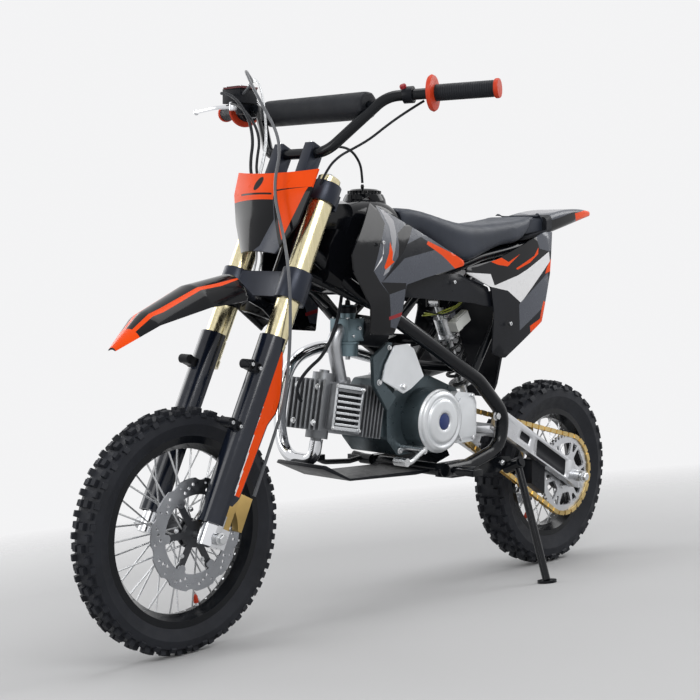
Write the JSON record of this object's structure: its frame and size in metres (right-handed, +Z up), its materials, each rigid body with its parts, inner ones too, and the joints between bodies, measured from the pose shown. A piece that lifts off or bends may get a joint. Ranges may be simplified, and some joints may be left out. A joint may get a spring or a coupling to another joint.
{
  "type": "kids dirt bike",
  "caption": "Small off-road motorcycle with knobby tyres, an open horizontal engine, long travel fork, flat seat and side stand, parked leaning to its left.",
  "frame": {"origin": "on the floor under the middle of the bike as it stands on its side stand", "axes": "+X forward, +Y to the rider's left, +Z up; the bike leans 8 degrees towards +Y"},
  "size_m": [1.6508, 0.8318, 1.1812],
  "materials": {
    "black_rubber": "matt",
    "black_metal": "gloss",
    "steel": "satin",
    "bright_steel": "polished",
    "gold_metal": "anodised",
    "silver_metal": "satin",
    "cast_metal": "cast",
    "black_plastic": "gloss",
    "soft_rubber": "matt",
    "seat_cover": "matt vinyl"
  },
  "bodies": {
    "frame": {"frame": "black_metal", "engine_case": "cast_metal", "cylinder": "cast_metal", "cylinder_head": "cast_metal", "flywheel_cover": "cast_metal", "sprocket_cover": "cast_metal", "clutch_cover": "cast_metal", "carburettor": "cast_metal", "intake_pipe": "cast_metal", "air_filter": "soft_rubber", "exhaust_pipe": "bright_steel", "silencer": "black_metal", "skid_plate": "black_plastic", "swingarm": "silver_metal", "rear_axle": "steel", "shock_absorber": "steel", "shock_spring": "silver_metal", "chain": "gold_metal", "chain_guide": "black_plastic", "footpegs": "black_metal", "brake_pedal": "black_metal", "gear_lever": "steel", "kick_starter": "steel", "fuel_tank": "black_plastic", "fuel_cap": "black_plastic", "shrouds": "black_plastic", "side_panels": "black_plastic", "air_box_covers": "black_plastic", "seat": "seat_cover", "tail": "black_plastic", "mud_guard": "black_plastic", "rear_caliper": "gold_metal"},
    "steering": {"fork_tubes": "gold_metal", "fork_legs": "bright_steel", "front_axle": "steel", "fork_guards": "black_plastic", "lower_clamp": "black_metal", "upper_clamp": "black_metal", "handlebar": "black_metal", "bar_pad": "seat_cover", "grips": "soft_rubber", "bar_controls": "black_metal", "brake_lever": "steel", "number_plate": "black_plastic", "front_fender": "black_plastic", "front_caliper": "gold_metal", "brake_hose": "soft_rubber", "throttle_cable": "soft_rubber"},
    "front_wheel": {"front_tyre": "black_rubber", "front_rim": "black_metal", "front_hub": "black_metal", "front_spokes": "steel", "front_disc": "steel"},
    "rear_wheel": {"rear_tyre": "black_rubber", "rear_rim": "black_metal", "rear_hub": "black_metal", "rear_spokes": "steel", "rear_disc": "steel", "rear_sprocket": "silver_metal"},
    "side_stand": {"side_stand": "black_metal"}
  },
  "joints": [
    {"name": "steering", "type": "hinge", "parent": "frame", "child": "steering", "pos_m": [0.30545, -0.04447, 0.71604], "axis": [-0.4289, 0.1257, 0.8945], "range_deg": [-40, 40]},
    {"name": "front_wheel", "type": "hinge", "parent": "steering", "child": "front_wheel", "pos_m": [0.5833, -0.11131, 0.24047], "axis": [0, 0.9903, -0.1392], "continuous": true},
    {"name": "rear_wheel", "type": "hinge", "parent": "frame", "child": "rear_wheel", "pos_m": [-0.5947, -0.11291, 0.22908], "axis": [0, 0.9903, -0.1392], "continuous": true},
    {"name": "side_stand", "type": "hinge", "parent": "frame", "child": "side_stand", "pos_m": [-0.3217, 0.02636, 0.27161], "axis": [0.0925, 0.9612, 0.26], "range_deg": [0, 107]}
  ]
}
